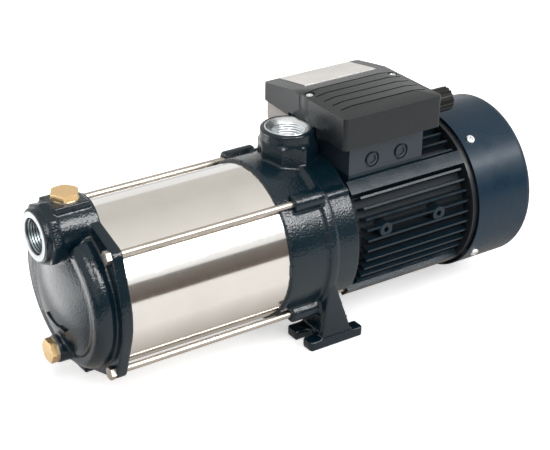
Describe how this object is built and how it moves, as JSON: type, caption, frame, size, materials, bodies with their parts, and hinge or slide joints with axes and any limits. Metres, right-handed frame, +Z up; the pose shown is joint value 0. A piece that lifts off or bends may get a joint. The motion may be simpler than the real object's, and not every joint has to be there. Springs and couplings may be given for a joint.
{
  "type": "horizontal multistage pump",
  "caption": "Close-coupled horizontal multistage water pump: cast suction cover, polished barrel held by tie bolts, upright threaded discharge port and finned motor with a terminal box.",
  "frame": {"origin": "centre of the foot's slot pattern, on the floor plane under the feet", "axes": "+X along the shaft from the suction port to the motor, +Z up along the discharge port's axis direction, +Y to the far side of the picture"},
  "size_m": [0.4666, 0.1526, 0.2143],
  "materials": {
    "paint": "glossy dark blue-grey paint over cast metal and sheet",
    "frame": "cast aluminium with glossy dark blue-grey paint",
    "shield": "dark satin paint",
    "plugs": "bright turned brass",
    "barrel": "mirror polished stainless steel",
    "bright_steel": "plain bright steel",
    "sealing_washers": "soft aluminium washer",
    "stage_steel": "pressed stainless steel",
    "impeller_plastic": "moulded ivory plastic",
    "bearing_steel": "ground bearing steel",
    "cages": "plain brass",
    "ceramic": "lapped ceramic",
    "rubber": "black rubber",
    "rotor_metal": "laminated steel with cast end rings",
    "lamination": "varnished steel laminations",
    "winding": "varnished copper wire",
    "fan_plastic": "black moulded plastic",
    "box": "blue-grey moulded plastic",
    "lid": "charcoal moulded plastic",
    "plate": "bare satin sheet",
    "board": "brown moulded plastic",
    "can": "pale plastic can",
    "gland": "black moulded plastic"
  },
  "bodies": {
    "pump_and_motor": {"suction_cover": "paint", "pump_barrel": "barrel", "barrel_front_seal": "rubber", "barrel_rear_seal": "rubber", "tie_bolts": "bright_steel", "inlet_plate": "stage_steel", "diffuser_1": "stage_steel", "diffuser_2": "stage_steel", "diffuser_3": "stage_steel", "diffuser_4": "stage_steel", "diffuser_5": "stage_steel", "seal_seat": "ceramic", "discharge_casing": "paint", "front_bearing_outer": "bearing_steel", "rear_bearing_outer": "bearing_steel", "wave_washer": "bright_steel", "stator_core": "lamination", "front_winding": "winding", "rear_winding": "winding", "motor_frame": "frame", "rear_end_shield": "shield", "motor_studs": "bright_steel", "stud_nuts": "bright_steel", "fan_cover": "paint", "fan_cover_screws": "bright_steel", "terminal_box_base": "box", "terminal_box_gasket": "rubber", "terminal_box_lid": "lid", "lid_screws": "bright_steel", "lid_plate": "plate", "terminal_board": "board", "capacitor": "can", "gland_body": "gland", "gland_nut": "gland", "gland_seal": "rubber"},
    "rotor": {"shaft": "bright_steel", "impeller_1": "impeller_plastic", "impeller_2": "impeller_plastic", "impeller_3": "impeller_plastic", "impeller_4": "impeller_plastic", "impeller_5": "impeller_plastic", "impeller_washer": "bright_steel", "impeller_nut": "bright_steel", "shaft_sleeve": "bright_steel", "seal_head": "rubber", "slinger_ring": "rubber", "front_bearing_inner": "bearing_steel", "rear_bearing_inner": "bearing_steel", "rotor_core": "rotor_metal", "fan": "fan_plastic", "fan_clip": "bright_steel"},
    "front_ball_set": {"front_bearing_balls": "bearing_steel", "front_bearing_cage": "cages"},
    "rear_ball_set": {"rear_bearing_balls": "bearing_steel", "rear_bearing_cage": "cages"},
    "filling_washer": {"filling_washer": "sealing_washers"},
    "filling_plug": {"filling_plug": "plugs"},
    "drain_washer": {"drain_washer": "sealing_washers"},
    "drain_plug": {"drain_plug": "plugs"}
  },
  "joints": [
    {"name": "shaft_spin", "type": "hinge", "parent": "pump_and_motor", "child": "rotor", "pos_m": [0, 0, 0.09], "axis": [1, 0, 0], "continuous": true},
    {"name": "front_ball_set_spin", "type": "hinge", "parent": "pump_and_motor", "child": "front_ball_set", "pos_m": [0.021, 0, 0.09], "axis": [1, 0, 0], "continuous": true},
    {"name": "rear_ball_set_spin", "type": "hinge", "parent": "pump_and_motor", "child": "rear_ball_set", "pos_m": [0.139, 0, 0.09], "axis": [1, 0, 0], "continuous": true},
    {"name": "filling_plug_rise", "type": "slide", "parent": "pump_and_motor", "child": "filling_washer", "axis": [0, 0, 1], "range_m": [0, 0.00803]},
    {"name": "filling_plug_turn", "type": "hinge", "parent": "filling_washer", "child": "filling_plug", "pos_m": [-0.2257, 0, 0.1759], "axis": [0, 0, 1], "range_deg": [0, 2160]},
    {"name": "drain_plug_rise", "type": "slide", "parent": "pump_and_motor", "child": "drain_washer", "axis": [-1, 0, 0], "range_m": [0, 0.00803]},
    {"name": "drain_plug_turn", "type": "hinge", "parent": "drain_washer", "child": "drain_plug", "pos_m": [-0.243, 0, 0.0405], "axis": [-1, 0, 0], "range_deg": [0, 2160]}
  ],
  "couplings": [
    {"joint": "front_ball_set_spin", "follows": "shaft_spin", "ratio": 0.38421},
    {"joint": "rear_ball_set_spin", "follows": "shaft_spin", "ratio": 0.38421},
    {"joint": "filling_plug_rise", "follows": "filling_plug_turn", "m_per_rad": 0.00021279},
    {"joint": "drain_plug_rise", "follows": "drain_plug_turn", "m_per_rad": 0.00021279}
  ]
}
